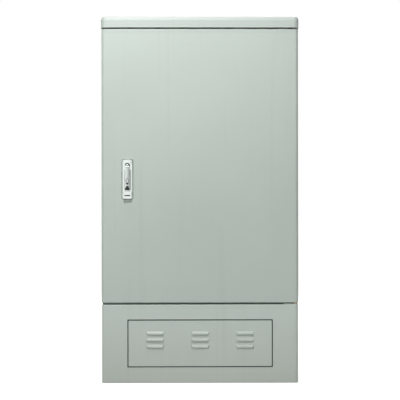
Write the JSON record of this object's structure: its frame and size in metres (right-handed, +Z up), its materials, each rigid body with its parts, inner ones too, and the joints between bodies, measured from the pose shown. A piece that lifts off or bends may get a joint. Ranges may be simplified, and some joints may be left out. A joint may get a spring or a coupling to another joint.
{
  "type": "roadside utility cabinet",
  "caption": "Free-standing sheet steel street cabinet with a roof cap, one rod-locked door on pivot pins, a louvred plinth panel and a mounting plate inside.",
  "frame": {"origin": "centre of the four anchor bolts, on the ground", "axes": "+Z up, +X to the right seen from the front, +Y from the front to the back"},
  "size_m": [0.758, 0.3433, 1.4],
  "materials": {
    "paint_body": "textured polyester powder coat, grey-green",
    "paint_door": "smooth polyester powder coat, grey-green",
    "paint_roof": "smooth polyester powder coat, grey-green",
    "paint_plinth": "smooth polyester powder coat, grey-green",
    "paint_inner": "grey-green powder coat on folded steel",
    "zinc": "bright zinc plated steel",
    "steel_pin": "drawn bright steel",
    "steel_gear": "sintered steel, lightly greased",
    "zinc_casting": "die casting, matt",
    "chrome_satin": "satin chrome on zinc die casting",
    "cover_metal": "satin chrome",
    "rivet_dark": "blackened steel",
    "black_plastic": "moulded polyamide, black",
    "grey_plastic": "moulded polyamide, grey",
    "pocket_plastic": "moulded polystyrene, cream",
    "insulator_red": "moulded polyester resin, red-brown",
    "copper": "bare copper bar, slightly dulled",
    "bronze": "sintered bronze",
    "rubber": "foamed and moulded rubber, black",
    "mesh": "galvanised slotted sheet"
  },
  "bodies": {
    "cabinet": {"roof_cap": "paint_roof", "roof_bolts": "zinc", "cabinet_shell": "paint_body", "door_frame": "paint_body", "plinth": "paint_plinth", "vent_panel": "paint_plinth", "panel_wing_nuts": "zinc", "vent_screens": "mesh", "gland_plate": "zinc", "gland_plate_screws": "zinc", "gland_bodies": "black_plastic", "gland_caps": "black_plastic", "gland_seals": "rubber", "gland_locknuts": "black_plastic", "side_rails": "zinc", "mounting_plate": "zinc", "plate_standoffs": "zinc", "plate_nuts": "zinc", "din_rails": "zinc", "terminal_blocks": "grey_plastic", "end_stops": "black_plastic", "cable_clamp_rail": "zinc", "earth_bar": "copper", "earth_insulators": "insulator_red", "earth_screws": "zinc", "hinge_bracket_top": "paint_inner", "hinge_bracket_bottom": "paint_inner", "hinge_pins": "steel_pin", "thrust_washer": "bronze", "hinge_screws": "zinc"},
    "door": {"door_panel": "paint_door", "door_gasket": "rubber", "door_stiffeners": "paint_inner", "pivot_blocks": "paint_inner", "hinge_bushes": "bronze", "document_pocket": "pocket_plastic", "lock_plate": "chrome_satin", "lock_gasket": "rubber", "hub_washer": "black_plastic", "gearbox_housing": "zinc_casting", "gearbox_cover": "zinc_casting", "gearbox_screws": "zinc", "rod_guides": "black_plastic", "lock_clamp": "steel_gear", "door_earth_stud": "zinc"},
    "handle_hub": {"handle_spindle": "chrome_satin", "pinion": "steel_gear", "spindle_screw": "zinc", "lift_pin": "steel_pin"},
    "lever": {"lever": "chrome_satin", "cover_rivet": "rivet_dark", "keyhole_surround": "black_plastic"},
    "dust_cover": {"dust_cover": "cover_metal"},
    "key_barrel": {"lock_barrel": "cover_metal", "lock_cam": "steel_gear"},
    "release_button": {"release_button": "black_plastic"},
    "upper_rod": {"upper_rack": "steel_gear", "upper_rod": "steel_pin"},
    "lower_rod": {"lower_rack": "steel_gear", "lower_rod": "steel_pin"}
  },
  "joints": [
    {"name": "door_swing", "type": "hinge", "parent": "cabinet", "child": "door", "pos_m": [0.365, -0.147, 0.83], "axis": [0, 0, 1], "range_deg": [0, 120]},
    {"name": "handle_turn", "type": "hinge", "parent": "door", "child": "handle_hub", "pos_m": [-0.277, -0.161, 0.832], "axis": [0, -1, 0], "range_deg": [0, 90]},
    {"name": "lever_lift", "type": "hinge", "parent": "handle_hub", "child": "lever", "pos_m": [-0.277, -0.1734, 0.8265], "axis": [-1, 0, 0], "range_deg": [0, 35]},
    {"name": "dust_cover_swing", "type": "hinge", "parent": "lever", "child": "dust_cover", "pos_m": [-0.277, -0.1813, 0.7635], "axis": [0, 1, 0], "range_deg": [0, 100]},
    {"name": "key_turn", "type": "hinge", "parent": "lever", "child": "key_barrel", "pos_m": [-0.277, -0.176, 0.776], "axis": [0, 1, 0], "range_deg": [0, 90]},
    {"name": "button_press", "type": "slide", "parent": "lever", "child": "release_button", "axis": [0, 1, 0], "range_m": [0, 0.0028], "stiffness_N_per_m": 400, "springref_m": -0.002},
    {"name": "upper_rod_slide", "type": "slide", "parent": "door", "child": "upper_rod", "axis": [0, 0, 1], "range_m": [-0.01886, 0]},
    {"name": "lower_rod_slide", "type": "slide", "parent": "door", "child": "lower_rod", "axis": [0, 0, 1], "range_m": [0, 0.01886]}
  ],
  "couplings": [
    {"joint": "upper_rod_slide", "follows": "handle_turn", "m_per_rad": -0.012},
    {"joint": "lower_rod_slide", "follows": "handle_turn", "m_per_rad": 0.012}
  ]
}
